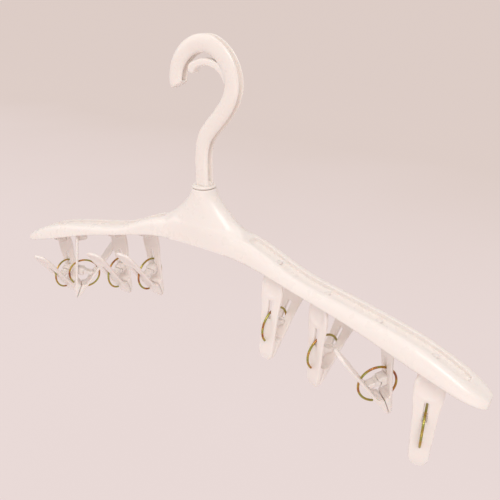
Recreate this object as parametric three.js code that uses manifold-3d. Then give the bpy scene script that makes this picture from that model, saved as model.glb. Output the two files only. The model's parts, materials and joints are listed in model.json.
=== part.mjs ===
// Clothes hanger with eight swivelling pegs: a hollow moulded body, a swivel hook and,
// for each peg, a swivel link, a fixed leaf, a lever leaf and a ring spring.
// Millimetres, +X along the arms, -Y is the front, +Z up. The origin is the point under
// the hook's grip tongue where the hanger rests on a rail.
import * as THREE from "three";
import { mergeVertices } from "three/addons/utils/BufferGeometryUtils.js";
import Module from "manifold-3d";

const wasm = await Module();
wasm.setup();

// ---- Driving dimensions ----------------------------------------------------------
const SEAT_ABOVE_COLLAR = 81.3; // rail seat above the top of the body's neck
const HALF_SPAN = 210; // half of the width over the arm tips
const ARM_SWEEP = 7.7; // how far the tips curve to the front
const ARM_HALF_DEPTH = 12.7; // half depth at the arm's open underside
const CREST_HALF_DEPTH = 6.9; // half depth over the two rims of the channel
const WALL = 2.2; // moulded wall
const NOSE_LENGTH = 22; // rounded end of an arm, in plan
const NOSE_STEP = 0.35; // shortest half depth left at the very tip, as a share
const ARM_STEPS = 36; // sections along the body

const CHANNEL_HALF_WIDTH = 4.7; // channel along the crest of each arm
const CHANNEL_DEPTH = 2.8;
const CHANNEL_START = 41;
const CHANNEL_END = 197;
const FLOOR = 1.7; // wall under the channel
const SHORTEST_WALL = 1.2; // least height of the hollow near the tips
const OVERCUT = 1; // how far a cutter reaches past the face it cuts

const NECK_RADIUS = 9; // top of the bell-shaped neck
const STEM_BORE_RADIUS = 4.3;
const STEM_RADIUS = 4;
const STEM_LENGTH = 14;
const BARB_RADIUS = 5.4; // snap-in barb under the neck's top wall
const NECK_ROOF = 6;
const BARB_LEAD = 4; // length of the barb's tapered lead-in
const BELL_RADII = [9, 9.8, 11.8, 14.8, 19.2, 25.2, 33, 41, 47]; // neck, from the top down
const BELL_HEIGHTS = [0, -3.5, -6.5, -10, -14.5, -19.5, -25, -30.5, -36];
const BELL_BOTTOM = -38;
const BELL_FLARE = 0.12; // share of the bell's flare that is kept front to back
const NECK_CAVITY_BOTTOM = -44;
const GAP = 0.3; // clearance between parts that touch or turn

const COLLAR_RADIUS = 8.7;
const COLLAR_THICKNESS = 2;
const COLLAR_BEVEL = 0.7;
const HOOK_DEPTH = 9.4; // front to back over both flanges
const FLANGE_THICKNESS = 2.8;
const FLANGE_WIDTH = 11.4;
const WEB_WIDTH = 5;
const TONGUE_WIDTH = 4;
const TONGUE_DEPTH = 7;
const BULB_RADIUS = 3;

const PEG_X = [65, 102.5, 139.5, 176]; // peg positions on each arm
const PIVOT_BELOW_EDGE = 3; // rock axis below the arm's lower edge
const LINK_HEAD_RADIUS = 2.35;
const LINK_HEAD_HEIGHT = 1.3;
const LINK_SHANK_RADIUS = 1.5;
const LINK_HOLE_RADIUS = 1.85;
const LINK_SEAT_DEPTH = 3.2; // head seat below the crest
const POCKET_RADIUS = 2.8; // round pocket the head sits in
const LINK_BOSS_RADIUS = 4.4;
const LINK_BOSS_HEIGHT = 2.6;
const LINK_COLLAR_RADIUS = 3.2;
const LINK_COLLAR_HEIGHT = 1.1;
const LINK_STEM_RADIUS = 1.7;
const LINK_EYE_RADIUS = 2.1;
const TRUNNION_RADIUS = 1.1;
const TRUNNION_HALF_LENGTH = 4.6;

const LEAF_LENGTH = 62.8; // along the peg's mid-plane
const LEAF_ANGLE = THREE.MathUtils.degToRad(15); // each leaf to the peg's mid-plane
const LEAF_THICKNESS = 2.4;
const TIP_OFFSET = 1.6; // outer face of a leaf from the mid-plane at the jaw tip
const PIVOT_HEIGHT = 62; // rock axis above the jaw tip, along the fixed leaf
const PIVOT_OFFSET = 7.5; // fixed leaf's outer face behind the rock axis
const FULCRUM_HEIGHT = 28;
const KNUCKLE_RADIUS = 2.2;
const KNUCKLE_HALF_WIDTH = 3.6;
const JAW_HEIGHT = 16;
const SLOT_HALF_WIDTH = 1.5;
const SLOT_LOW = 30.5;
const SLOT_HIGH = 44;
const DISH_DEPTH = 0.8;
const DISH_HEIGHT = 52.8;
const DISH_HALF_WIDTH = 7;
const DISH_HALF_LENGTH = 7.4;
const ROOT = 0.6; // how far a rib is let into the leaf it stands on
const EAR_INSIDE = 2.5;
const EAR_OUTSIDE = 4.2;
const EAR_FRONT = 2.1;
const EAR_BELOW = 3.2;
const EAR_ABOVE = 2.2;
const SEAT_FRONT = 0.9;
const SEAT_BELOW = 3.6;
const SEAT_ABOVE = 3.2;
const LEVER_WEB_HALF = 1.5;

const RING_RADIUS = 13.2; // centreline
const WIRE_RADIUS = 0.8;
const RING_HEIGHT = 25.5; // ring centre above the jaw tip
const RING_END_ANGLE = THREE.MathUtils.degToRad(29.5); // each wire end from straight down

// Half width of a leaf at heights above its jaw tip.
const LEAF_FACE = [
  [2.6, 0],
  [5, 1.8],
  [6.5, 6],
  [6.7, 14],
  [7.2, 26],
  [7.8, 38],
  [8.9, 45],
  [9.3, 52],
  [8.8, 57.5],
  [6.8, 61],
  [3.4, LEAF_LENGTH],
];

// How each peg stands: swivel about the vertical and lean of the fixed leaf, in degrees.
const PEG_POSES = {
  peg_1: { x: -PEG_X[3], swivel: 7, lean: 4.5 },
  peg_2: { x: -PEG_X[2], swivel: 143, lean: 8 },
  peg_3: { x: -PEG_X[1], swivel: 6, lean: 4 },
  peg_4: { x: -PEG_X[0], swivel: 0, lean: 5 },
  peg_5: { x: PEG_X[0], swivel: 173, lean: 7 },
  peg_6: { x: PEG_X[1], swivel: 159, lean: 2 },
  peg_7: { x: PEG_X[2], swivel: -44, lean: 6.5 },
  peg_8: { x: PEG_X[3], swivel: 192, lean: 5.5 },
};

// Heights of the arm's lower edge and crest below the collar, from the middle outwards.
const STATIONS = [0, 42, 84, 126, 168, 204, 212];
const LOWER_EDGE = [-41.3, -43.3, -52.7, -62.7, -75.3, -84.5, -85.5];
const CREST = [-27, -29.8, -45.7, -53.8, -63, -77.6, -82.5];

// Centrelines of the hook and of its grip tongue in X-Z, above the collar plane: the hook
// from the collar up and round to the tip, the tongue from its root to its free end.
const HOOK_LINE = [
  [0.6, 1.5],
  [0.6, 14],
  [1.2, 26],
  [4.2, 36],
  [10, 43.6],
  [16.6, 50.6],
  [23, 58.4],
  [26.9, 66.5],
  [27.6, 74.5],
  [24.8, 83],
  [18.6, 90.6],
  [9.6, 95.4],
  [-0.2, 95.2],
  [-9.4, 90.8],
  [-16.4, 82.8],
  [-19.4, 73],
  [-18.2, 68.5],
];
const TONGUE_LINE = [
  [24, 72],
  [21.2, 77.6],
  [15.8, 81.9],
  [8.4, 84],
  [1.4, 83.4],
  [-4.2, 80.8],
  [-6.6, 77.4],
];

// ---- Helpers ---------------------------------------------------------------------
function solidOf(geometry) {
  const bare = geometry.clone();
  bare.deleteAttribute("normal");
  bare.deleteAttribute("uv");
  const merged = mergeVertices(bare, 1e-4);
  return new wasm.Manifold(
    new wasm.Mesh({
      numProp: 3,
      vertProperties: merged.attributes.position.array,
      triVerts: new Uint32Array(merged.index.array),
    }),
  );
}

function geometryOf(solid) {
  const mesh = solid.getMesh();
  const geometry = new THREE.BufferGeometry();
  geometry.setAttribute("position", new THREE.BufferAttribute(mesh.vertProperties, 3));
  geometry.setIndex(new THREE.BufferAttribute(mesh.triVerts, 1));
  geometry.computeVertexNormals();
  return geometry;
}

function join(solids) {
  return solids.reduce((all, next) => all.add(next));
}

// A smooth curve through the stations, level at the middle of the hanger.
function profileCurve(values) {
  const points = STATIONS.map((x, i) => new THREE.Vector2(x, values[i]));
  const mirrored = points.slice(1).reverse().map((p) => new THREE.Vector2(-p.x, p.y));
  const samples = new THREE.SplineCurve([...mirrored, ...points]).getPoints(240);
  return (x) => {
    const after = samples.findIndex((p) => p.x >= x);
    const b = samples[Math.max(after, 1)];
    const a = samples[Math.max(after, 1) - 1];
    return a.y + ((b.y - a.y) * (x - a.x)) / (b.x - a.x);
  };
}

const lowerEdge = profileCurve(LOWER_EDGE);
const crest = profileCurve(CREST);

function armMiddle(x) {
  return -ARM_SWEEP * (x / HALF_SPAN) ** 2;
}

// Share of the full depth left at x: 1 along the arm, falling round the nose.
function noseShare(x, reach) {
  const along = Math.max(0, Math.abs(x) - (reach - NOSE_LENGTH)) / NOSE_LENGTH;
  return NOSE_STEP + (1 - NOSE_STEP) * Math.sqrt(Math.max(0, 1 - along * along));
}

// Sections spaced closer towards the two noses.
function stationAt(share, reach) {
  return reach * Math.sin(share * Math.PI * 0.5) * 0.45 + reach * share * 0.55;
}

// Sweeps a section along the arms. The section's x runs -1 to 1 across the depth at the
// lower edge, and its y runs 0 to 1 from the lower edge to the crest.
function sweepBody(section, steps, reach, low, high, halfDepth) {
  const geometry = new THREE.ExtrudeGeometry(section, {
    depth: 2,
    steps,
    bevelEnabled: false,
  });
  const at = geometry.attributes.position;
  for (let i = 0; i < at.count; i += 1) {
    const x = stationAt(at.getZ(i) - 1, reach);
    const share = noseShare(x, reach);
    const bottom = low(x);
    const top = bottom + (high(x) - bottom) * Math.min(1, 0.45 + 0.55 * share);
    const y = armMiddle(x) + at.getX(i) * halfDepth * share;
    at.setXYZ(i, x, y, bottom + (top - bottom) * at.getY(i));
  }
  return solidOf(geometry);
}

// Bow of the arm's front and back faces between the lower edge and the crest.
function bowedSection(crestShare, steps, bottom) {
  const shape = new THREE.Shape();
  const first = bottom < 0 ? 0 : 1;
  shape.moveTo(1, bottom);
  for (let i = first; i <= steps; i += 1) {
    const turn = (i / steps) * Math.PI * 0.5;
    shape.lineTo(crestShare + (1 - crestShare) * Math.cos(turn), Math.sin(turn));
  }
  for (let i = steps; i >= first; i -= 1) {
    const turn = (i / steps) * Math.PI * 0.5;
    shape.lineTo(-crestShare - (1 - crestShare) * Math.cos(turn), Math.sin(turn));
  }
  shape.lineTo(-1, bottom);
  return shape;
}

function cylinder(radius, low, high, segments) {
  const geometry = new THREE.CylinderGeometry(radius, radius, high - low, segments);
  geometry.rotateX(Math.PI / 2);
  geometry.translate(0, 0, (low + high) / 2);
  return geometry;
}

function box(x0, x1, y0, y1, z0, z1) {
  const geometry = new THREE.BoxGeometry(x1 - x0, y1 - y0, z1 - z0);
  geometry.translate((x0 + x1) / 2, (y0 + y1) / 2, (z0 + z1) / 2);
  return geometry;
}

// ---- Hanger body -------------------------------------------------------------------
// The bell of the neck: a lathe squeezed front to back until it fits the arms' depth.
function bell(inset, top, bottom) {
  const profile = BELL_RADII.map(
    (r, i) => new THREE.Vector2(r - inset, BELL_HEIGHTS[i] - inset),
  );
  const kept = profile.filter((p) => p.y < top);
  const outline = [
    new THREE.Vector2(0, bottom),
    new THREE.Vector2(kept[kept.length - 1].x, bottom),
    ...kept.reverse(),
    new THREE.Vector2(kept[kept.length - 1].x, top),
    new THREE.Vector2(0, top),
  ];
  const geometry = new THREE.LatheGeometry(outline, 24);
  geometry.rotateX(Math.PI / 2);
  const at = geometry.attributes.position;
  const limit = ARM_HALF_DEPTH - inset;
  for (let i = 0; i < at.count; i += 1) {
    const radius = Math.hypot(at.getX(i), at.getY(i));
    const flare = radius - NECK_RADIUS + inset;
    const squeezed = Math.min(radius, NECK_RADIUS - inset + flare * BELL_FLARE);
    if (radius > 0) at.setY(i, (at.getY(i) / radius) * Math.min(squeezed, limit));
  }
  return solidOf(geometry);
}

function channelCutter(side) {
  const steps = 16;
  const shape = new THREE.Shape();
  shape.moveTo(-1, 0);
  shape.lineTo(1, 0);
  shape.lineTo(1, 1);
  shape.lineTo(-1, 1);
  const geometry = new THREE.ExtrudeGeometry(shape, { depth: 1, steps, bevelEnabled: false });
  const at = geometry.attributes.position;
  const length = CHANNEL_END - CHANNEL_START;
  for (let i = 0; i < at.count; i += 1) {
    const along = CHANNEL_START + length * (1 - Math.cos(at.getZ(i) * Math.PI)) * 0.5;
    const fromEnd = Math.min(along - CHANNEL_START, CHANNEL_END - along);
    const round = Math.min(1, fromEnd / CHANNEL_HALF_WIDTH);
    const half = CHANNEL_HALF_WIDTH * (0.3 + 0.7 * Math.sqrt(1 - (1 - round) ** 2));
    const x = side * along;
    const z = at.getY(i) > 0.5 ? crest(x) + 3 : crest(x) - CHANNEL_DEPTH;
    at.setXYZ(i, x, armMiddle(x) + side * at.getX(i) * half, z);
  }
  return solidOf(geometry);
}

function pegBoss(x) {
  const seat = crest(x) - LINK_SEAT_DEPTH;
  const geometry = cylinder(LINK_BOSS_RADIUS, seat - LINK_BOSS_HEIGHT, seat + 0.5, 14);
  geometry.translate(x, armMiddle(x), 0);
  return solidOf(geometry);
}

function pegHole(x) {
  const seat = crest(x) - LINK_SEAT_DEPTH;
  const hole = cylinder(LINK_HOLE_RADIUS, seat - LINK_BOSS_HEIGHT - OVERCUT, seat + OVERCUT, 12);
  const pocket = cylinder(POCKET_RADIUS, seat, seat + LINK_SEAT_DEPTH, 14);
  hole.translate(x, armMiddle(x), 0);
  pocket.translate(x, armMiddle(x), 0);
  return solidOf(hole).add(solidOf(pocket));
}

function hangerBody() {
  const outer = sweepBody(
    bowedSection(CREST_HALF_DEPTH / ARM_HALF_DEPTH, 5, 0),
    ARM_STEPS,
    HALF_SPAN,
    lowerEdge,
    crest,
    ARM_HALF_DEPTH,
  );
  const roof = (x) => Math.max(crest(x) - CHANNEL_DEPTH - FLOOR, lowerEdge(x) + SHORTEST_WALL);
  const inner = sweepBody(
    bowedSection(CREST_HALF_DEPTH / ARM_HALF_DEPTH, 3, -1),
    ARM_STEPS - 10,
    HALF_SPAN - WALL - 1.5,
    lowerEdge,
    roof,
    ARM_HALF_DEPTH - WALL,
  );
  const bosses = Object.values(PEG_POSES).map((pose) => pegBoss(pose.x));
  const holes = Object.values(PEG_POSES).map((pose) => pegHole(pose.x));
  const stemBore = solidOf(cylinder(STEM_BORE_RADIUS, -STEM_LENGTH, OVERCUT, 20));
  return outer
    .add(bell(0, 0.01, BELL_BOTTOM))
    .subtract(inner)
    .subtract(bell(WALL, -NECK_ROOF, NECK_CAVITY_BOTTOM))
    .add(join(bosses))
    .subtract(join(holes))
    .subtract(channelCutter(1))
    .subtract(channelCutter(-1))
    .subtract(stemBore);
}

// ---- Hook ----------------------------------------------------------------------------
// Centreline of the hook in the X-Z plane, from the collar up and round to the tip.
function hookLine() {
  return new THREE.SplineCurve(HOOK_LINE.map(([x, z]) => new THREE.Vector2(x, z)));
}

function tongueLine() {
  return new THREE.SplineCurve(TONGUE_LINE.map(([x, z]) => new THREE.Vector2(x, z)));
}

// A flat strip of one width that follows a line, as a closed outline.
function stripShape(line, width, samples) {
  const left = [];
  const right = [];
  for (let i = 0; i <= samples; i += 1) {
    const point = line.getPointAt(i / samples);
    const tangent = line.getTangentAt(i / samples);
    left.push(new THREE.Vector2(point.x - (tangent.y * width) / 2, point.y + (tangent.x * width) / 2));
    right.push(new THREE.Vector2(point.x + (tangent.y * width) / 2, point.y - (tangent.x * width) / 2));
  }
  return new THREE.Shape([...right, ...left.reverse()]);
}

// Extrudes an X-Z outline between two depths.
function plate(shape, front, back) {
  const geometry = new THREE.ExtrudeGeometry(shape, {
    depth: back - front,
    bevelEnabled: false,
    curveSegments: 5,
  });
  geometry.rotateX(Math.PI / 2);
  geometry.translate(0, back, 0);
  return solidOf(geometry);
}

function hook() {
  const half = HOOK_DEPTH / 2;
  const flange = stripShape(hookLine(), FLANGE_WIDTH, 30);
  const web = stripShape(hookLine(), WEB_WIDTH, 24);
  const bulbCentre = tongueLine().getPoint(1);
  const bulb = new THREE.Shape();
  bulb.absarc(bulbCentre.x, bulbCentre.y, BULB_RADIUS, 0, Math.PI * 2);
  const collar = new THREE.LatheGeometry(
    [
      [0, -STEM_LENGTH],
      [STEM_RADIUS - COLLAR_BEVEL, -STEM_LENGTH],
      [BARB_RADIUS, -STEM_LENGTH + BARB_LEAD],
      [BARB_RADIUS, -NECK_ROOF - 2 * GAP],
      [STEM_RADIUS, -NECK_ROOF - 2 * GAP],
      [STEM_RADIUS, GAP],
      [COLLAR_RADIUS, GAP],
      [COLLAR_RADIUS, GAP + COLLAR_THICKNESS - COLLAR_BEVEL],
      [COLLAR_RADIUS - COLLAR_BEVEL, GAP + COLLAR_THICKNESS],
      [0, GAP + COLLAR_THICKNESS],
    ].map(([r, z]) => new THREE.Vector2(r, z)),
    24,
  );
  collar.rotateX(Math.PI / 2);
  return join([
    plate(flange, -half, -half + FLANGE_THICKNESS),
    plate(web, -half + FLANGE_THICKNESS - 0.1, half - FLANGE_THICKNESS + 0.1),
    plate(flange, half - FLANGE_THICKNESS, half),
    plate(stripShape(tongueLine(), TONGUE_WIDTH, 14), -TONGUE_DEPTH / 2, TONGUE_DEPTH / 2),
    plate(bulb, -TONGUE_DEPTH / 2, TONGUE_DEPTH / 2),
    solidOf(collar),
  ]);
}

// ---- Peg pieces ------------------------------------------------------------------------
// Swivel link: a headed pin that hangs through the arm's boss and ends in a cross pin.
// Its origin is the rock axis.
function swivelLink(seatAbovePivot) {
  const head = seatAbovePivot + GAP;
  const collar = seatAbovePivot - LINK_BOSS_HEIGHT - GAP;
  const spindle = new THREE.LatheGeometry(
    [
      [0, -LINK_EYE_RADIUS],
      [LINK_EYE_RADIUS - 0.5, -LINK_EYE_RADIUS],
      [LINK_EYE_RADIUS, -LINK_EYE_RADIUS + 0.6],
      [LINK_STEM_RADIUS, LINK_EYE_RADIUS],
      [LINK_STEM_RADIUS, collar - LINK_COLLAR_HEIGHT],
      [LINK_COLLAR_RADIUS, collar - LINK_COLLAR_HEIGHT],
      [LINK_COLLAR_RADIUS, collar],
      [LINK_SHANK_RADIUS, collar],
      [LINK_SHANK_RADIUS, head],
      [LINK_HEAD_RADIUS, head],
      [LINK_HEAD_RADIUS - 0.6, head + LINK_HEAD_HEIGHT],
      [0, head + LINK_HEAD_HEIGHT],
    ].map(([r, z]) => new THREE.Vector2(r, z)),
    8,
  );
  spindle.rotateX(Math.PI / 2);
  const trunnion = cylinder(TRUNNION_RADIUS, -TRUNNION_HALF_LENGTH, TRUNNION_HALF_LENGTH, 8);
  trunnion.rotateY(Math.PI / 2);
  return solidOf(spindle).add(solidOf(trunnion));
}

// Face of a leaf: rounded jaw, narrower waist, wide pad.
function leafFace() {
  const right = LEAF_FACE.map(([x, h]) => new THREE.Vector2(x, h));
  const left = LEAF_FACE.map(([x, h]) => new THREE.Vector2(-x, h)).reverse();
  return new THREE.Shape([...right, ...left]);
}

function slotShape(half, low, high) {
  const shape = new THREE.Shape();
  shape.absarc(0, low + half, half, Math.PI, Math.PI * 2);
  shape.absarc(0, high - half, half, 0, Math.PI);
  return shape;
}

function dishShape() {
  const shape = new THREE.Shape();
  shape.absellipse(0, DISH_HEIGHT, DISH_HALF_WIDTH, DISH_HALF_LENGTH, 0, Math.PI * 2);
  return shape;
}

function outerFace(h) {
  return TIP_OFFSET + h * Math.tan(LEAF_ANGLE);
}

// A leaf in the peg's mid-plane frame: h is along +Z from the jaw tip, and the leaf lies
// on the +Y side with its outer face leaning away from the mid-plane.
function leafBlank() {
  const thickness = LEAF_THICKNESS / Math.cos(LEAF_ANGLE);
  const side = new THREE.Shape();
  side.moveTo(GAP / 2, 0);
  side.lineTo(outerFace(0), 0);
  side.lineTo(outerFace(LEAF_LENGTH), LEAF_LENGTH);
  side.lineTo(outerFace(LEAF_LENGTH) - thickness, LEAF_LENGTH);
  side.lineTo(outerFace(JAW_HEIGHT + 2) - thickness, JAW_HEIGHT + 2);
  side.lineTo(GAP / 2, JAW_HEIGHT);
  // The side outline is drawn in Y-Z and extruded along X.
  const profile = new THREE.ExtrudeGeometry(side, { depth: 20, bevelEnabled: false });
  profile.rotateY(Math.PI / 2);
  profile.rotateX(Math.PI / 2);
  profile.translate(-10, 0, 0);
  const face = plate(leafFace(), -1, 30);
  const slot = plate(slotShape(SLOT_HALF_WIDTH, SLOT_LOW, SLOT_HIGH), -1, 30);
  return solidOf(profile).intersect(face).subtract(slot);
}

function withDish(blank) {
  // The dish floor is parallel to the leaf's outer face.
  const cutter = new THREE.ExtrudeGeometry(dishShape(), {
    depth: 4,
    bevelEnabled: false,
    curveSegments: 5,
  });
  cutter.rotateX(Math.PI / 2);
  cutter.translate(0, 4, 0);
  cutter.rotateX(-LEAF_ANGLE);
  cutter.translate(0, TIP_OFFSET - DISH_DEPTH / Math.cos(LEAF_ANGLE), 0);
  return blank.subtract(solidOf(cutter));
}

function innerFace(h) {
  return outerFace(h) - LEAF_THICKNESS / Math.cos(LEAF_ANGLE);
}

function fulcrumRod(radius, halfWidth) {
  const rod = cylinder(radius, -halfWidth, halfWidth, 12);
  rod.rotateY(Math.PI / 2);
  rod.translate(0, 0, FULCRUM_HEIGHT);
  return solidOf(rod);
}

// Fixed leaf: a seat for the lever's knuckle, and two ears that clip over the cross pin.
function fixedLeaf() {
  const seat = solidOf(
    box(
      -KNUCKLE_HALF_WIDTH,
      KNUCKLE_HALF_WIDTH,
      SEAT_FRONT,
      innerFace(FULCRUM_HEIGHT) + ROOT,
      FULCRUM_HEIGHT - SEAT_BELOW,
      FULCRUM_HEIGHT + SEAT_ABOVE,
    ),
  ).subtract(fulcrumRod(KNUCKLE_RADIUS + GAP, KNUCKLE_HALF_WIDTH + OVERCUT));
  const ears = [-1, 1].map((side) => {
    const back = PIVOT_OFFSET - LEAF_THICKNESS + ROOT;
    const ear = solidOf(box(EAR_INSIDE, EAR_OUTSIDE, -EAR_FRONT, back, -EAR_BELOW, EAR_ABOVE));
    const bore = cylinder(TRUNNION_RADIUS + GAP, 0, EAR_OUTSIDE + OVERCUT, 8);
    bore.rotateY(Math.PI / 2);
    const made = ear.subtract(solidOf(bore));
    return made.scale([side, 1, 1]);
  });
  // The ears are square to the leaf, so they are placed in the leaf's own tilt.
  const placed = ears.map((ear) =>
    ear
      .translate([0, -PIVOT_OFFSET, PIVOT_HEIGHT])
      .rotate([-THREE.MathUtils.radToDeg(LEAF_ANGLE), 0, 0])
      .translate([0, TIP_OFFSET, 0]),
  );
  return join([withDish(leafBlank()), seat, ...placed]);
}

// Lever leaf: the knuckle it turns on stands on a web from its inner face.
function leverLeaf() {
  const web = solidOf(
    box(
      -KNUCKLE_HALF_WIDTH + GAP,
      KNUCKLE_HALF_WIDTH - GAP,
      0,
      innerFace(FULCRUM_HEIGHT) + ROOT,
      FULCRUM_HEIGHT - LEVER_WEB_HALF,
      FULCRUM_HEIGHT + LEVER_WEB_HALF,
    ),
  );
  const knuckle = fulcrumRod(KNUCKLE_RADIUS, KNUCKLE_HALF_WIDTH - GAP);
  return join([withDish(leafBlank()), web, knuckle]);
}

// C-shaped wire ring in the Y-Z plane about the fulcrum, open between the jaws.
function ringSpring() {
  const points = [];
  const steps = 20;
  for (let i = 0; i <= steps; i += 1) {
    const turn = RING_END_ANGLE + (i / steps) * (Math.PI * 2 - 2 * RING_END_ANGLE);
    const y = Math.sin(turn) * RING_RADIUS;
    const z = RING_HEIGHT - Math.cos(turn) * RING_RADIUS;
    points.push(new THREE.Vector3(0, y, z));
  }
  const wire = new THREE.Shape();
  wire.absarc(0, 0, WIRE_RADIUS, 0, Math.PI * 2);
  const geometry = new THREE.ExtrudeGeometry(wire, {
    steps,
    curveSegments: 3,
    extrudePath: new THREE.CatmullRomCurve3(points),
  });
  return solidOf(geometry);
}

// ---- Materials -------------------------------------------------------------------------
function plastic(name, color, roughness) {
  return new THREE.MeshStandardMaterial({ name, color, roughness, metalness: 0 });
}

function bodyPlastic() {
  return plastic("body_plastic", 0xece3dd, 0.32);
}

function hookPlastic() {
  return plastic("hook_plastic", 0xeae1dc, 0.34);
}

function pegPlastic() {
  return plastic("peg_plastic", 0xe6deda, 0.38);
}

function linkPlastic() {
  return plastic("link_plastic", 0xe4dcd6, 0.4);
}

function springWire() {
  return new THREE.MeshStandardMaterial({
    name: "spring_wire",
    color: 0x9a7a3c,
    roughness: 0.3,
    metalness: 1,
  });
}

// ---- Assembly --------------------------------------------------------------------------
function named(name, solid, material) {
  const mesh = new THREE.Mesh(geometryOf(solid), material);
  mesh.name = name;
  return mesh;
}

function peg(name, pose) {
  const pivot = lowerEdge(pose.x) - PIVOT_BELOW_EDGE;
  const swivel = new THREE.Group();
  swivel.position.set(pose.x, armMiddle(pose.x), pivot);
  swivel.rotation.z = THREE.MathUtils.degToRad(pose.swivel);
  const seat = crest(pose.x) - LINK_SEAT_DEPTH - pivot;
  swivel.add(named(name + "_link", swivelLink(seat), linkPlastic()));

  const rock = new THREE.Group();
  rock.rotation.x = THREE.MathUtils.degToRad(pose.lean);
  swivel.add(rock);

  const middle = new THREE.Group();
  middle.rotation.x = LEAF_ANGLE;
  middle.position.set(
    0,
    PIVOT_OFFSET - TIP_OFFSET * Math.cos(LEAF_ANGLE),
    -PIVOT_HEIGHT - TIP_OFFSET * Math.sin(LEAF_ANGLE),
  );
  rock.add(middle);
  middle.add(named(name + "_fixed_leaf", fixedLeaf(), pegPlastic()));
  const lever = named(name + "_lever_leaf", leverLeaf(), pegPlastic());
  lever.rotation.z = Math.PI;
  middle.add(lever);
  middle.add(named(name + "_ring_spring", ringSpring(), springWire()));
  return swivel;
}

const hanger = new THREE.Group();
hanger.position.z = -SEAT_ABOVE_COLLAR;
hanger.add(named("hanger_body", hangerBody(), bodyPlastic()));
hanger.add(named("hook", hook(), hookPlastic()));
for (const [name, pose] of Object.entries(PEG_POSES)) {
  hanger.add(peg(name, pose));
}

export default hanger;
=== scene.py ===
import json
import math

import bmesh
import bpy
import numpy as np
from mathutils import Matrix, Vector


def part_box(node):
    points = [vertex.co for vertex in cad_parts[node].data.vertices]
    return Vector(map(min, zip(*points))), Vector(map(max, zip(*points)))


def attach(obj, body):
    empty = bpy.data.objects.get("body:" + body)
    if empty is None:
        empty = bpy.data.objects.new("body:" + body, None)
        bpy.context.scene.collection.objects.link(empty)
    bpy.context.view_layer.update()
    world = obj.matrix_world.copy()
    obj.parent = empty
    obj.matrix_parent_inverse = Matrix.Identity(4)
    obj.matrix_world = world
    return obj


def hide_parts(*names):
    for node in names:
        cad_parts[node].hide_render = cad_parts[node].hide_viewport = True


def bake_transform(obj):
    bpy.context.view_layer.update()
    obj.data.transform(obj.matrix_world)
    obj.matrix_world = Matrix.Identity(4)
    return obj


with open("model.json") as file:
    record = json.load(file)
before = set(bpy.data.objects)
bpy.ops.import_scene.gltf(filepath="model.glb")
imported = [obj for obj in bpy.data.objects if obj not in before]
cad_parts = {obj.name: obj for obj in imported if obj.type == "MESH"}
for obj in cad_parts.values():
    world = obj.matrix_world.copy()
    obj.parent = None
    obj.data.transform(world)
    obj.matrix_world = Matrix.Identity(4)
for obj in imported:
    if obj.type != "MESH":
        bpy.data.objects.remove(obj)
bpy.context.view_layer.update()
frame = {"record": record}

record = frame["record"]
joints = {j["name"]: j for j in record["behaviour"]["joints"]}

MM = 0.001
SEAT = joints["hook_swivel"]["pos_m"][2]  # height of the neck's top in the row frame

# Dimensions in millimetres, in the hanger's own frame below the collar.
HALF_SPAN = 210.0
ARM_SWEEP = 7.7
ARM_HALF_DEPTH = 12.7
CREST_HALF_DEPTH = 6.9
WALL = 2.2
NOSE_LENGTH = 22.0
NOSE_STEP = 0.35
CHANNEL_HALF_WIDTH = 4.7
CHANNEL_DEPTH = 2.8
CHANNEL_START = 41.0
CHANNEL_END = 197.0
FLOOR = 1.7
NECK_HALF_WIDTH = 26.0  # reach of the neck's opening along the crest
NECK_SHOULDER = -25.0  # height of the opening's front and back edges
NECK_REACH = 48.0  # where the bell has run out into the arm
BELL_RADII = [9, 9.8, 11.8, 14.8, 19.2, 25.2, 33, 41, 47]
BELL_FLARE = 0.12  # share of the bell's flare that is kept front to back
BELL_HEIGHTS = [0, -3.5, -6.5, -10, -14.5, -19.5, -25, -30.5, -36]
BORE_RADIUS = 4.3

STATIONS = [0, 42, 84, 126, 168, 204, 212]
LOWER_EDGE = [-41.3, -43.3, -52.7, -62.7, -75.3, -84.5, -85.5]
CREST = [-27, -29.8, -45.7, -53.8, -63, -77.6, -82.5]

HOOK_LINE = [
    (0.6, 1.5), (0.6, 14), (1.2, 26), (4.2, 36), (10, 43.6), (16.6, 50.6),
    (23, 58.4), (26.9, 66.5), (27.6, 74.5), (24.8, 83), (18.6, 90.6), (9.6, 95.4),
    (-0.2, 95.2), (-9.4, 90.8), (-16.4, 82.8), (-19.4, 73), (-18.2, 68.5),
]
TONGUE_LINE = [
    (24, 72), (21.2, 77.6), (15.8, 81.9), (8.4, 84), (1.4, 83.4), (-4.2, 80.8),
    (-6.6, 77.4),
]
FLANGE_WIDTH = 11.4
FLANGE_THICKNESS = 2.8
HOOK_DEPTH = 9.4
WEB_WIDTH = 5.0
COLLAR_RADIUS = 8.7
COLLAR_THICKNESS = 2.0
GAP = 0.3

LEAF_LENGTH = 62.8
LEAF_ANGLE = math.radians(15)
LEAF_THICKNESS = 2.4
TIP_OFFSET = 1.6
PIVOT_HEIGHT = 62.0
PIVOT_OFFSET = 7.5
FULCRUM_HEIGHT = 28.0
JAW_HEIGHT = 16.0
RING_RADIUS = 13.2
WIRE_RADIUS = 0.8
RING_HEIGHT = 25.5
RING_END_ANGLE = math.radians(28.3)
LINK_HEAD = 1.3
BOSS_HEIGHT = 2.6  # of the boss in the arm that the link passes through


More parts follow.
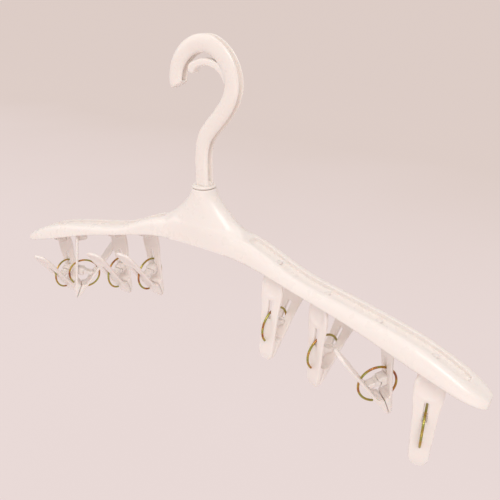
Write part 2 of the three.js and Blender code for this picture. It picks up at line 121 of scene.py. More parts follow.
# ---- Curves ------------------------------------------------------------------------
def spline_point(points, t):
    """Point at t, 0 to 1, of the uniform Catmull-Rom curve through the points."""
    at = t * (len(points) - 1)
    i = min(int(at), len(points) - 2)
    w = at - i
    p0 = points[max(i - 1, 0)]
    p1 = points[i]
    p2 = points[i + 1]
    p3 = points[min(i + 2, len(points) - 1)]
    v0 = (p2 - p0) * 0.5
    v1 = (p3 - p1) * 0.5
    return ((2 * p1 - 2 * p2 + v0 + v1) * w ** 3
            + (-3 * p1 + 3 * p2 - 2 * v0 - v1) * w ** 2 + v0 * w + p1)


def spline_samples(points, count):
    """The curve resampled at equal lengths."""
    points = [np.array(p, float) for p in points]
    fine = np.array([spline_point(points, t) for t in np.linspace(0, 1, 1200)])
    run = np.concatenate([[0], np.cumsum(np.linalg.norm(np.diff(fine, axis=0), axis=1))])
    want = np.linspace(0, run[-1], count)
    return np.stack([np.interp(want, run, fine[:, k]) for k in range(fine.shape[1])], 1)


def profile(values):
    points = [(x, v) for x, v in zip(STATIONS, values)]
    points = [(-x, v) for x, v in reversed(points[1:])] + points
    points = [np.array(p, float) for p in points]
    fine = np.array([spline_point(points, t) for t in np.linspace(0, 1, 1000)])
    return lambda x: float(np.interp(x, fine[:, 0], fine[:, 1]))


lower_edge = profile(LOWER_EDGE)
crest = profile(CREST)


def smooth(t):
    t = min(1.0, max(0.0, t))
    return t * t * (3 - 2 * t)


def arm_middle(x):
    return -ARM_SWEEP * (x / HALF_SPAN) ** 2


def nose_share(x):
    along = max(0.0, abs(x) - (HALF_SPAN - NOSE_LENGTH)) / NOSE_LENGTH
    return NOSE_STEP + (1 - NOSE_STEP) * math.sqrt(max(0.0, 1 - along * along))


# ---- Meshes ------------------------------------------------------------------------
class Cage:
    """Vertices in millimetres and faces, gathered piece by piece."""

    def __init__(self):
        self.verts = []
        self.faces = []
        self.creases = {}

    def add(self, points):
        first = len(self.verts)
        self.verts.extend(tuple(float(c) for c in p) for p in points)
        return list(range(first, len(self.verts)))

    def strip(self, a, b):
        for i in range(len(a)):
            j = (i + 1) % len(a)
            self.faces.append((a[i], a[j], b[j], b[i]))

    def crease(self, a, b, weight):
        self.creases[frozenset((a, b))] = weight

    def crease_loop(self, ring, weight):
        for i in range(len(ring)):
            self.crease(ring[i], ring[(i + 1) % len(ring)], weight)

    def build(self, name, material, levels, matrix):
        mesh = bpy.data.meshes.new(name)
        mesh.from_pydata([[c * MM for c in v] for v in self.verts], [], self.faces)
        work = bmesh.new()
        work.from_mesh(mesh)
        if self.creases:
            layer = work.edges.layers.float.new("crease_edge")
            for edge in work.edges:
                key = frozenset(v.index for v in edge.verts)
                edge[layer] = self.creases.get(key, 0.0)
        bmesh.ops.recalc_face_normals(work, faces=work.faces)
        work.to_mesh(mesh)
        work.free()
        mesh.validate()
        mesh.transform(matrix)
        mesh.shade_smooth()
        mesh.materials.append(material)
        obj = bpy.data.objects.new(name, mesh)
        bpy.context.scene.collection.objects.link(obj)
        if levels:
            modifier = obj.modifiers.new("Subdivision", "SUBSURF")
            modifier.levels = levels
            modifier.render_levels = levels
        return obj


def lathe(cage, outline, segments, centre=(0, 0, 0), axis="z"):
    """A closed turned shape. outline is a list of (radius, height) from bottom to top."""
    rings = []
    for radius, height in outline:
        points = []
        for i in range(segments):
            turn = 2 * math.pi * i / segments
            a = radius * math.cos(turn)
            b = radius * math.sin(turn)
            if axis == "z":
                points.append((centre[0] + a, centre[1] + b, centre[2] + height))
            else:
                points.append((centre[0] + height, centre[1] + a, centre[2] + b))
        rings.append(cage.add(points))
    for a, b in zip(rings, rings[1:]):
        cage.strip(a, b)
    cage.faces.append(tuple(reversed(rings[0])))
    cage.faces.append(tuple(rings[-1]))


def prism(cage, outline, x0, x1, crease):
    """A closed bar along X with an outline in Y-Z."""
    a = cage.add([(x0, y, z) for y, z in outline])
    b = cage.add([(x1, y, z) for y, z in outline])
    cage.strip(a, b)
    cage.faces.append(tuple(reversed(a)))
    cage.faces.append(tuple(b))
    cage.crease_loop(a, crease)
    cage.crease_loop(b, crease)
    for i, j in zip(a, b):
        cage.crease(i, j, crease)


# ---- Materials -----------------------------------------------------------------------
def principled(name):
    material = bpy.data.materials.new(name)
    material.use_nodes = True
    tree = material.node_tree
    return material, tree.nodes, tree.links, tree.nodes["Principled BSDF"]


def plastic(name, color, roughness, tint, seed):
    """Moulded off-white plastic: faint flow marks, a worn lighter edge, a fine skin."""
    material, nodes, links, shader = principled(name)
    place = nodes.new("ShaderNodeTexCoord")
    shift = nodes.new("ShaderNodeMapping")
    shift.inputs["Location"].default_value = (seed, seed * 0.7, seed * 1.3)
    links.new(place.outputs["Object"], shift.inputs["Vector"])

    flow = nodes.new("ShaderNodeTexNoise")
    flow.inputs["Scale"].default_value = 34
    flow.inputs["Detail"].default_value = 4
    flow.inputs["Distortion"].default_value = 1.2
    links.new(shift.outputs["Vector"], flow.inputs["Vector"])
    shade = nodes.new("ShaderNodeValToRGB")
    shade.color_ramp.elements[0].position = 0.3
    shade.color_ramp.elements[0].color = (*[c * tint for c in color], 1)
    shade.color_ramp.elements[1].position = 0.72
    shade.color_ramp.elements[1].color = (*color, 1)
    links.new(flow.outputs["Fac"], shade.inputs["Fac"])

    shape = nodes.new("ShaderNodeNewGeometry")
    edge = nodes.new("ShaderNodeMapRange")
    edge.inputs["From Min"].default_value = 0.52
    edge.inputs["From Max"].default_value = 0.6
    edge.inputs["To Max"].default_value = 0.12
    links.new(shape.outputs["Pointiness"], edge.inputs["Value"])
    worn = nodes.new("ShaderNodeMixRGB")
    worn.inputs["Color2"].default_value = (*[min(1.0, c * 1.07) for c in color], 1)
    links.new(edge.outputs["Result"], worn.inputs["Fac"])
    links.new(shade.outputs["Color"], worn.inputs["Color1"])
    links.new(worn.outputs["Color"], shader.inputs["Base Color"])

    patch = nodes.new("ShaderNodeTexNoise")
    patch.inputs["Scale"].default_value = 120
    patch.inputs["Detail"].default_value = 5
    links.new(shift.outputs["Vector"], patch.inputs["Vector"])
    gloss = nodes.new("ShaderNodeMapRange")
    gloss.inputs["To Min"].default_value = roughness - 0.05
    gloss.inputs["To Max"].default_value = roughness + 0.08
    links.new(patch.outputs["Fac"], gloss.inputs["Value"])
    links.new(gloss.outputs["Result"], shader.inputs["Roughness"])

    skin = nodes.new("ShaderNodeTexNoise")
    skin.inputs["Scale"].default_value = 900
    skin.inputs["Detail"].default_value = 3
    links.new(shift.outputs["Vector"], skin.inputs["Vector"])
    bump = nodes.new("ShaderNodeBump")
    bump.inputs["Strength"].default_value = 0.025
    bump.inputs["Distance"].default_value = 0.0002
    links.new(skin.outputs["Fac"], bump.inputs["Height"])
    links.new(bump.outputs["Normal"], shader.inputs["Normal"])

    shader.inputs["IOR"].default_value = 1.49
    shader.inputs["Subsurface Weight"].default_value = 0.12
    shader.inputs["Subsurface Radius"].default_value = (0.006, 0.004, 0.003)
    shader.inputs["Subsurface Scale"].default_value = 0.4
    shader.inputs["Coat Weight"].default_value = 0.15
    shader.inputs["Coat Roughness"].default_value = 0.18
    return material


def spring_wire():
    """Zinc-plated wire: gold running to olive and red-brown, with fine drawing lines."""
    material, nodes, links, shader = principled("spring_wire")
    place = nodes.new("ShaderNodeTexCoord")
    film = nodes.new("ShaderNodeTexNoise")
    film.inputs["Scale"].default_value = 95
    film.inputs["Detail"].default_value = 2
    film.inputs["Distortion"].default_value = 0.8
    links.new(place.outputs["Object"], film.inputs["Vector"])
    hue = nodes.new("ShaderNodeValToRGB")
    ramp = hue.color_ramp
    ramp.elements[0].position = 0.3
    ramp.elements[0].color = (0.34, 0.13, 0.07, 1)
    ramp.elements[1].position = 0.72
    ramp.elements[1].color = (0.33, 0.24, 0.14, 1)
    for position, color in (
        (0.41, (0.46, 0.21, 0.07, 1)),
        (0.48, (0.52, 0.36, 0.09, 1)),
        (0.55, (0.36, 0.37, 0.10, 1)),
        (0.63, (0.42, 0.35, 0.11, 1)),
    ):
        ramp.elements.new(position).color = color
    links.new(film.outputs["Fac"], hue.inputs["Fac"])
    links.new(hue.outputs["Color"], shader.inputs["Base Color"])
    drawn = nodes.new("ShaderNodeTexNoise")
    drawn.inputs["Scale"].default_value = 1400
    links.new(place.outputs["Object"], drawn.inputs["Vector"])
    rough = nodes.new("ShaderNodeMapRange")
    rough.inputs["To Min"].default_value = 0.2
    rough.inputs["To Max"].default_value = 0.36
    links.new(drawn.outputs["Fac"], rough.inputs["Value"])
    links.new(rough.outputs["Result"], shader.inputs["Roughness"])
    bump = nodes.new("ShaderNodeBump")
    bump.inputs["Strength"].default_value = 0.12
    bump.inputs["Distance"].default_value = 0.00008
    links.new(drawn.outputs["Fac"], bump.inputs["Height"])
    links.new(bump.outputs["Normal"], shader.inputs["Normal"])
    shader.inputs["Metallic"].default_value = 1.0
    return material


def backdrop_material():
    # The backdrop has a near-black base and glows, so its colour is painted light: darker towards
    # the back and in big soft patches.
    material, nodes, links, shader = principled("backdrop")
    place = nodes.new("ShaderNodeTexCoord")
    # Painted uneven light: big soft brighter and darker patches on the backdrop.
    painted_light_blotches = nodes.new("ShaderNodeTexNoise")
    painted_light_blotches.inputs["Scale"].default_value = 1.1
    links.new(place.outputs["Object"], painted_light_blotches.inputs["Vector"])
    split = nodes.new("ShaderNodeSeparateXYZ")
    links.new(place.outputs["Object"], split.inputs["Vector"])
    # Painted falloff: the glow darkens towards the back and up the sweep.
    painted_falloff = nodes.new("ShaderNodeMapRange")
    painted_falloff.inputs["From Min"].default_value = 0.3
    painted_falloff.inputs["From Max"].default_value = 2.6
    links.new(split.outputs["Y"], painted_falloff.inputs["Value"])
    mixed = nodes.new("ShaderNodeMath")
    mixed.operation = "MULTIPLY_ADD"
    mixed.inputs[1].default_value = 0.35
    links.new(painted_light_blotches.outputs["Fac"], mixed.inputs[0])
    links.new(painted_falloff.outputs["Result"], mixed.inputs[2])
    tone = nodes.new("ShaderNodeValToRGB")
    tone.color_ramp.elements[0].position = 0.15
    tone.color_ramp.elements[0].color = (0.79, 0.68, 0.665, 1)
    tone.color_ramp.elements[1].position = 1.1
    tone.color_ramp.elements[1].color = (0.70, 0.59, 0.55, 1)
    links.new(mixed.outputs["Value"], tone.inputs["Fac"])
    # The painted light is given out as glow.
    links.new(tone.outputs["Color"], shader.inputs["Emission Color"])
    shader.inputs["Emission Strength"].default_value = 0.98
    shader.inputs["Base Color"].default_value = (0.05, 0.045, 0.043, 1)
    shader.inputs["Roughness"].default_value = 0.95
    shader.inputs["Specular IOR Level"].default_value = 0.05
    return material


BODY = plastic("body_plastic", (0.905, 0.85, 0.805), 0.27, 0.992, 0.13)
HOOK = plastic("hook_plastic", (0.895, 0.835, 0.785), 0.27, 0.99, 0.41)
PEG = plastic("peg_plastic", (0.90, 0.84, 0.80), 0.3, 0.985, 0.77)
LINK = plastic("link_plastic", (0.88, 0.82, 0.78), 0.32, 0.985, 1.1)
WIRE = spring_wire()


# ---- Hanger body -----------------------------------------------------------------------
ARM_STATIONS = [
    28.5, 31, 34, 37, 39, 40.2, 40.8, 41.4, 42.4, 43.8, 45.4, 46.4, 47.6, 49.6, 54,
    60, 68, 77, 87, 98, 109, 120, 131, 142, 153, 163, 172, 180, 186.5, 191, 193.6,
    195.4, 196.4, 197.2, 198.6, 200.6, 202.8, 204.8, 206.5, 207.9, 208.9, 209.6, 210,
]
NECK_STATIONS = [0, 4.5, 9, 13.5, 18, 22, 26]
BOW_STEPS = 5
BELL_FOOT = -36.0
NO_BELL = -60.0  # below every part of the arm
MOUTH_ROW = 8  # the neck ring at the rim of the bore
BORE_FLOOR = -6.0


def channel_depth(x):
    inner = smooth((abs(x) - (CHANNEL_START - 0.4)) / 1.6)
    outer = smooth(((CHANNEL_END + 0.4) - abs(x)) / 1.6)
    return CHANNEL_DEPTH * min(inner, outer)


def channel_half(x):
    from_end = min(abs(x) - CHANNEL_START, CHANNEL_END - abs(x))
    round_off = min(1.0, max(0.0, from_end / (CHANNEL_HALF_WIDTH * 1.2)))
    return CHANNEL_HALF_WIDTH * (0.45 + 0.55 * math.sqrt(1 - (1 - round_off) ** 2))


def bell_radius(z):
    return float(np.interp(-z, [-h for h in BELL_HEIGHTS], BELL_RADII))


def bell_depth(z):
    """Front-to-back half depth of the neck at a height."""
    return min(ARM_HALF_DEPTH, BELL_RADII[0] + (bell_radius(z) - BELL_RADII[0]) * BELL_FLARE)


def bell_height(x, y):
    """Height of the bell's surface over a point in plan."""
    heights = np.linspace(0, BELL_FOOT, 145)
    inside = [(x / bell_radius(z)) ** 2 + (y / bell_depth(z)) ** 2 for z in heights]
    for z, f in zip(heights, inside):
        if f <= 1:
            return float(z)
    return NO_BELL


def soft_max(a, b, width=1.6):
    h = max(0.0, min(1.0, 0.5 + 0.5 * (a - b) / width))
    return b + (a - b) * h + width * h * (1 - h) * 0.5


def body_section(x):
    """One section of the arm, from the front lip over the crest to the back lip and back
    through the hollow."""
    share = nose_share(x)
    low = lower_edge(x)
    high = low + (crest(x) - low) * min(1.0, 0.45 + 0.55 * share)
    middle = arm_middle(x)
    foot = ARM_HALF_DEPTH * share
    top = CREST_HALF_DEPTH * share
    depth = channel_depth(x)
    half = min(channel_half(x), top * 0.7)
    ridge = high
    shoulder = high
    if abs(x) < NECK_REACH:
        if abs(x) <= NECK_HALF_WIDTH:
            # On the neck the section stops at the edge of the opening.
            shoulder = NECK_SHOULDER
            top = bell_depth(shoulder) * math.sqrt(1 - (x / bell_radius(shoulder)) ** 2)
        else:
            shoulder = soft_max(bell_height(x, top), high)
        ridge = soft_max(bell_height(x, 0), high)
    side = []
    for i in range(BOW_STEPS + 1):
        turn = math.pi / 2 * i / BOW_STEPS
        side.append((top + (foot - top) * math.cos(turn),
                     low + (shoulder - low) * math.sin(turn)))
    side[0] = (foot, low + 0.01)

    def over_top(y):
        return ridge - (ridge - shoulder) * (y / top) ** 2

    rim_mid = half + (top - half) * 0.45
    rim = [(rim_mid, over_top(rim_mid) + 0.1), (half, over_top(half))]
    bottom = over_top(half) - depth
    wall = half - min(0.25, half * 0.1)
    if depth < 0.05:
        groove = [(wall, over_top(wall)), (half * 0.5, over_top(half * 0.5))]
        bottom = ridge
    else:
        groove = [(wall, bottom), (half * 0.5, bottom)]
    over = side + rim + groove
    outer = [(-y, z) for y, z in over] + [(0, bottom)] + [(y, z) for y, z in reversed(over)]
    # The hollow under the channel closes up before the nose.
    open_share = smooth((HALF_SPAN - 5.0 - abs(x)) / 5.0)
    roof = max(crest(x) - CHANNEL_DEPTH - FLOOR, low + 1.2)
    roof = low + (roof - low) * open_share
    inner_foot = max(foot - WALL, 0.6)
    inner_top = max((CREST_HALF_DEPTH - 1.0) * share, 0.4)
    inner = [
        (inner_foot, low),
        (inner_foot * 0.96 + inner_top * 0.04, low + (roof - low) * 0.5),
        (inner_top + (inner_foot - inner_top) * 0.45, low + (roof - low) * 0.92),
        (inner_top * 0.5, roof),
    ]
    under = [(y, z) for y, z in inner] + [(0, roof)] + [(-y, z) for y, z in reversed(inner)]
    return [(x, middle + y, z) for y, z in outer + under]


SIDE_COUNT = BOW_STEPS + 1 + 2 + 2
OUTER_COUNT = SIDE_COUNT * 2 + 1


def neck_ring(boundary, cage, levels):
    """Rings that carry the crest's opening up into the round neck."""
    points = [np.array(cage.verts[i]) for i in boundary]
    turns = [
        math.atan2(p[1] / bell_depth(p[2]), p[0] / bell_radius(p[2])) for p in points
    ]
    front_middle = len(NECK_STATIONS) - 1
    rings = [boundary]
    for height, half_x, half_y, blend in levels:
        made = []
        for k, turn in enumerate(turns):
            even = -math.pi / 2 + 2 * math.pi * (k - front_middle) / len(points)
            angle = turn + wrap(even - turn) * blend
            made.append((half_x * math.cos(angle), half_y * math.sin(angle), height))
        ring = cage.add(made)
        cage.strip(rings[-1], ring)
        rings.append(ring)
    return rings


def wrap(angle):
    return (angle + math.pi) % (2 * math.pi) - math.pi


def hanger_body():
    cage = Cage()
    half = NECK_STATIONS + ARM_STATIONS
    stations = [-x for x in reversed(half[1:])] + half
    rings = [cage.add(body_section(x)) for x in stations]
    first_rim = BOW_STEPS + 1
    last_rim = OUTER_COUNT - first_rim - 1
    count = len(rings[0])
    for x0, x1, a, b in zip(stations, stations[1:], rings, rings[1:]):
        inside_neck = max(abs(x0), abs(x1)) <= NECK_HALF_WIDTH
        for i in range(count):
            j = (i + 1) % count
            if inside_neck and first_rim - 1 <= i and j <= last_rim + 1:
                continue
            cage.faces.append((a[i], a[j], b[j], b[i]))
        for index, weight in (
            (BOW_STEPS + 2, 0.55), (OUTER_COUNT - BOW_STEPS - 3, 0.55),
            (BOW_STEPS + 3, 0.5), (OUTER_COUNT - BOW_STEPS - 4, 0.5),
            (0, 0.75), (OUTER_COUNT - 1, 0.75), (OUTER_COUNT, 0.6), (count - 1, 0.6),
        ):
            cage.crease(a[index], b[index], weight)
    cage.faces.append(tuple(reversed(rings[0])))
    cage.faces.append(tuple(rings[-1]))

    # The opening's edge, once round: the front side, the right end, the back, the left end.
    inside = [r for x, r in zip(stations, rings) if abs(x) <= NECK_HALF_WIDTH]
    front = [r[BOW_STEPS] for r in inside]
    back = [r[OUTER_COUNT - 1 - BOW_STEPS] for r in inside]
    right = [inside[-1][i] for i in range(BOW_STEPS + 1, OUTER_COUNT - 1 - BOW_STEPS)]
    left = [inside[0][i] for i in range(BOW_STEPS + 1, OUTER_COUNT - 1 - BOW_STEPS)]
    boundary = front + right + back[::-1] + left[::-1]
    neck_rows = []
    for z, turn_share in ((-17.0, 0.5), (-13.2, 0.8), (-9.8, 1), (-6.8, 1), (-4.2, 1),
                          (-2.2, 1), (-0.7, 1)):
        neck_rows.append((z, bell_radius(z), bell_depth(z), turn_share))
    mouth = BELL_RADII[0] - 0.35
    ring_rows = neck_ring(boundary, cage, neck_rows + [
        (0.0, mouth, mouth, 1.0),
        (0.0, 6.6, 6.6, 1.0),
        (0.0, BORE_RADIUS, BORE_RADIUS, 1.0),
        (-5.0, BORE_RADIUS, BORE_RADIUS, 1.0),
        (BORE_FLOOR, BORE_RADIUS, BORE_RADIUS, 1.0),
        (BORE_FLOOR, 6.4, 6.4, 1.0),
        (-7.0, 7.8, 7.4, 1.0),
        (-12.0, 13.0, 8.4, 1.0),
        (-20.0, 22.0, 9.0, 0.8),
    ])
    cage.crease_loop(ring_rows[MOUTH_ROW], 0.5)
    # The crest's points inside the neck's opening belong to no face, so they go.
    keep = sorted(set(v for f in cage.faces for v in f))
    number = {v: i for i, v in enumerate(keep)}
    cage.verts = [cage.verts[v] for v in keep]
    cage.faces = [tuple(number[v] for v in f) for f in cage.faces]
    cage.creases = {
        frozenset(number[v] for v in key): w
        for key, w in cage.creases.items() if all(v in number for v in key)
    }
    obj = cage.build("hanger_body_shell", BODY, 2, Matrix.Translation((0, 0, SEAT)))
    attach(obj, "hanger_body")
    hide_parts("hanger_body")


# ---- Hook ------------------------------------------------------------------------------
def hook_section(web, scale):
    """Half of the I-section's outline, as (offset along the profile, depth)."""
    edge = FLANGE_WIDTH / 2 * scale
    face = HOOK_DEPTH / 2
    inner = face - FLANGE_THICKNESS
    web = min(web, edge)
    return [
        (0.0, -face), (edge * 0.42, -face + 0.2), (edge * 0.76, -face + 0.75),
        (edge * 0.96, -face + 1.6), (edge, -inner - 0.55), (edge * 0.93, -inner - 0.1),
        (web + (edge - web) * 0.25, -inner + 0.12), (web, -inner + 0.55),
        (web, 0.0),
        (web, inner - 0.55), (web + (edge - web) * 0.25, inner - 0.12),
        (edge * 0.93, inner + 0.1), (edge, inner + 0.55), (edge * 0.96, face - 1.6),
        (edge * 0.76, face - 0.75), (edge * 0.42, face - 0.2), (0.0, face),
    ]


def sweep_xz(cage, line, sections):
    """Sweeps outlines of (offset, depth) along a line in X-Z."""
    tangent = np.gradient(line, axis=0)
    tangent /= np.linalg.norm(tangent, axis=1)[:, None]
    rings = []
    for point, way, outline in zip(line, tangent, sections):
        rings.append(cage.add([
            (point[0] + way[1] * off, depth, point[1] - way[0] * off)
            for off, depth in outline
        ]))
    for a, b in zip(rings, rings[1:]):
        cage.strip(a, b)
    cage.faces.append(tuple(reversed(rings[0])))
    cage.faces.append(tuple(rings[-1]))
    return rings


def hook():
    cage = Cage()
    line = spline_samples(HOOK_LINE, 150)
    run = np.concatenate([[0], np.cumsum(np.linalg.norm(np.diff(line, axis=0), axis=1))])
    length = run[-1]
    sections = []
    for here in run:
        left = length - here
        web = WEB_WIDTH / 2
        web += (FLANGE_WIDTH / 2 - web) * smooth((2.6 - left) / 1.2)
        web += (FLANGE_WIDTH / 2 - web) * smooth((3.0 - here) / 2.5)
        scale = 1.0 - 0.16 * smooth((1.5 - left) / 1.5) ** 2
        half = hook_section(web, scale)
        sections.append(half + [(-o, d) for o, d in reversed(half[1:-1])])
    rings = sweep_xz(cage, line, sections)
    cage.crease_loop(rings[-1], 0.5)

    tongue = spline_samples(TONGUE_LINE, 44)
    t_run = np.linspace(0, 1, 44)
    t_sections = []
    for t in t_run:
        thick = 2.3 - 0.5 * smooth(t * 2.2)
        swell = math.exp(-((t - 0.93) / 0.075) ** 2)
        thick += 1.2 * swell
        if t > 0.95:
            thick *= math.sqrt(max(0.05, 1 - ((t - 0.95) / 0.053) ** 2))
        depth = 3.5 - 0.25 * smooth((t - 0.5) * 2)
        outer = thick + 1.1 * smooth(t * 3) * (1 - smooth((t - 0.85) / 0.15))
        t_sections.append([
            (0.0, -depth), (outer * 0.8, -depth + 0.15), (outer, -depth + 0.7),
            (outer, 0.0), (outer, depth - 0.7), (outer * 0.8, depth - 0.15), (0.0, depth),
            (-thick * 0.8, depth - 0.15), (-thick, depth - 0.7), (-thick, 0.0),
            (-thick, -depth + 0.7), (-thick * 0.8, -depth + 0.15),
        ])
    sweep_xz(cage, tongue, t_sections)

    # Collar and the stem that turns in the neck's bore.
    top = GAP + COLLAR_THICKNESS
    lathe(cage, [
        (2.0, -14.0), (3.4, -14.0), (5.2, -10.2), (5.4, -9.2), (5.4, -6.9), (4.1, -6.7),
        (4.0, -6.2), (4.0, GAP - 0.1), (4.4, GAP), (COLLAR_RADIUS - 0.5, GAP),
        (COLLAR_RADIUS, GAP + 0.4), (COLLAR_RADIUS, top - 0.6),
        (COLLAR_RADIUS - 0.5, top), (6.0, top), (2.5, top),
    ], 48)
    # Ejector marks on the front face.
    for x, z, r in ((22.3, 85.8, 0.55), (24.9, 80.6, 0.7), (26.7, 74.5, 0.55)):
        mark = cage.add([
            (x + r * math.cos(2 * math.pi * i / 14), -HOOK_DEPTH / 2 + 0.3,
             z + r * math.sin(2 * math.pi * i / 14)) for i in range(14)])
        rise = cage.add([
            (x + r * 0.8 * math.cos(2 * math.pi * i / 14), -HOOK_DEPTH / 2 - 0.05,
             z + r * 0.8 * math.sin(2 * math.pi * i / 14)) for i in range(14)])
        cage.strip(mark, rise)
        cage.faces.append(tuple(rise))
        cage.faces.append(tuple(reversed(mark)))
    obj = cage.build("hook_moulding", HOOK, 1, Matrix.Translation((0, 0, SEAT)))
    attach(obj, "hook")
    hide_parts("hook")


# ---- Pegs --------------------------------------------------------------------------------
FACE_H = [0, 1.8, 6, 14, 26, 38, 45, 52, 57.5, 61, LEAF_LENGTH]
FACE_W = [2.6, 5, 6.5, 6.7, 7.2, 7.8, 8.9, 9.3, 8.8, 6.8, 3.4]
ROWS = [
    0.5, 1.1, 2.0, 3.2, 5, 7.5, 10, 12.2, 13.6, 15, 16.2, 17.2, 18.4, 20, 23, 26.5,
    29.8, 30.6, 31.6, 34, 37, 40, 42.6, 43.6, 44.4, 45.4, 46.6, 48, 49.6, 51.2, 53, 54.8,
    56.4, 57.8, 59, 60.1, 61, 61.8, LEAF_LENGTH - 0.5,
]
SLOT_HALF = 1.5
SLOT_LOW = 30.5
SLOT_HIGH = 44.0
DISH = (52.8, 6.9, 7.4)


def outer_face(h):
    return TIP_OFFSET + h * math.tan(LEAF_ANGLE)


def inner_face(h):
    return outer_face(h) - LEAF_THICKNESS / math.cos(LEAF_ANGLE)


def face_half(h):
    return float(np.interp(h, FACE_H, FACE_W))


def leaf_outer(x, h):
    """Outer surface of a leaf: crowned, rounded at the tip, dished at the pad, grooved
    below the slot."""
    width = face_half(h)
    s = outer_face(h)
    s -= 0.35 * (x / width) ** 2
    s -= 0.9 * (1 - smooth(h / 4.5))
    centre, half_x, half_h = DISH
    r = math.hypot(x / half_x, (h - centre) / half_h)
    s -= 1.0 * (1 - smooth((r - 0.62) / 0.36))
    s += 0.28 * math.exp(-((r - 1.06) / 0.16) ** 2) * smooth((h - 44.5) / 3)
    narrow = 1.6 - 0.6 * smooth((26 - h) / 12)
    groove = (1 - smooth((abs(x) - narrow * 0.55) / (narrow * 0.7)))
    s -= 0.85 * groove * smooth((h - 12.6) / 1.2) * (1 - smooth((h - 44.6) / 1.0))
    return s


def leaf_inner(x, h):
    plain = inner_face(h)
    jaw = GAP / 2 + 0.25 * (1 - smooth(h / 1.6))
    rise = smooth((h - JAW_HEIGHT + 0.2) / 1.2)
    width = face_half(h)
    s = jaw + (max(plain, jaw) - jaw) * rise
    return s + 0.2 * (x / width) ** 4 * rise


def leaf_cage():
    """The blade of a leaf in the peg's mid-plane frame, in millimetres."""
    cage = Cage()
    outer = []
    inner = []
    for h in ROWS:
        width = face_half(h) - 0.5
        xs = [-width, -width * 0.86, -width * 0.66]
        mid = max(2.6, width * 0.42)
        if width < 4:
            xs = [-width, -width * 0.85, -width * 0.7]
            mid = width * 0.55
        slot = min(SLOT_HALF, width * 0.35)
        xs += [-mid, -slot, slot, mid]
        xs += [-xs[2], -xs[1], -xs[0]]
        outer.append(cage.add([(x, leaf_outer(x, h), h) for x in xs]))
        inner.append(cage.add([(x, leaf_inner(x, h), h) for x in xs]))
    columns = len(outer[0])
    middle = columns // 2 - 1
    holes = []
    for r in range(len(ROWS) - 1):
        for c in range(columns - 1):
            if c == middle and SLOT_LOW <= ROWS[r] and ROWS[r + 1] <= SLOT_HIGH:
                holes.append(r)
                continue
            cage.faces.append((outer[r][c], outer[r][c + 1], outer[r + 1][c + 1], outer[r + 1][c]))
            cage.faces.append((inner[r][c], inner[r + 1][c], inner[r + 1][c + 1], inner[r][c + 1]))
    for r in holes:
        for c in (middle, middle + 1):
            cage.faces.append((outer[r][c], outer[r + 1][c], inner[r + 1][c], inner[r][c]))
            cage.crease(outer[r][c], outer[r + 1][c], 0.5)
            cage.crease(inner[r][c], inner[r + 1][c], 0.5)
    for r in (holes[0], holes[-1] + 1):
        cage.faces.append((outer[r][middle], outer[r][middle + 1],
                           inner[r][middle + 1], inner[r][middle]))
    # The rim runs round both faces, half a millimetre out.
    loop = [(0, c) for c in range(columns)]
    loop += [(r, columns - 1) for r in range(1, len(ROWS))]
    loop += [(len(ROWS) - 1, c) for c in range(columns - 2, -1, -1)]
    loop += [(r, 0) for r in range(len(ROWS) - 2, 0, -1)]
    rim = []
    for r, c in loop:
        x, s_out, h = cage.verts[outer[r][c]]
        s_in = cage.verts[inner[r][c]][1]
        if c in (0, columns - 1):
            x += 0.5 if c else -0.5
        if r in (0, len(ROWS) - 1):
            h += 0.5 if r else -0.5
            if c in (0, columns - 1):
                x -= 0.25 if c else -0.25
        rim.append((x, (s_out + s_in) / 2, h))
    rim = cage.add(rim)
    cage.strip([outer[r][c] for r, c in loop], rim)
    cage.strip(rim, [inner[r][c] for r, c in loop])
    return cage


def fixed_leaf_cage():
    cage = leaf_cage()
    # Seat for the knuckle.
    out = inner_face(FULCRUM_HEIGHT) + 0.6
    groove = []
    for i in range(9):
        turn = math.radians(-66 + 132 * i / 8)
        groove.append((2.5 * math.cos(turn), FULCRUM_HEIGHT + 2.5 * math.sin(turn)))
    outline = [(out + 0.6, 31.2), (0.95, 31.2)] + groove[::-1] + [(0.95, 24.4), (out - 0.4, 24.4)]
    prism(cage, outline, -3.6, 3.6, 0.6)
    # Ears that clip over the cross pin.
    cos, sin = math.cos(LEAF_ANGLE), math.sin(LEAF_ANGLE)

    def tilt(y, z):
        y, z = y - PIVOT_OFFSET, z + PIVOT_HEIGHT
        return (y * cos + z * sin + TIP_OFFSET, -y * sin + z * cos)

    ear = [(PIVOT_OFFSET - LEAF_THICKNESS + 0.5, 2.3), (1.2, 2.3), (-0.8, 2.1), (-2.1, 1.0),
           (-2.4, -0.4), (-2.0, -1.9), (-0.8, -2.9), (1.2, -3.3),
           (PIVOT_OFFSET - LEAF_THICKNESS + 0.5, -4.2)]
    for x0, x1 in ((-4.2, -2.5), (2.5, 4.2)):
        prism(cage, [tilt(y, z) for y, z in ear], x0, x1, 0.5)
    return cage


def lever_leaf_cage():
    cage = leaf_cage()
    out = inner_face(FULCRUM_HEIGHT)
    web = [(0, 26.6), (out + 0.3, 26.2), (out + 0.9, 29.8), (0, 29.4)]
    prism(cage, web, -3.2, 3.2, 0.6)
    knuckle = [(1.4, -3.3), (2.0, -3.3), (2.2, -3.1), (2.2, 0), (2.2, 3.1), (2.0, 3.3), (1.4, 3.3)]
    lathe(cage, knuckle, 24, (0, 0, FULCRUM_HEIGHT), "x")
    # The lever is on the other side of the mid-plane.
    cage.verts = [(-x, -y, z) for x, y, z in cage.verts]
    return cage


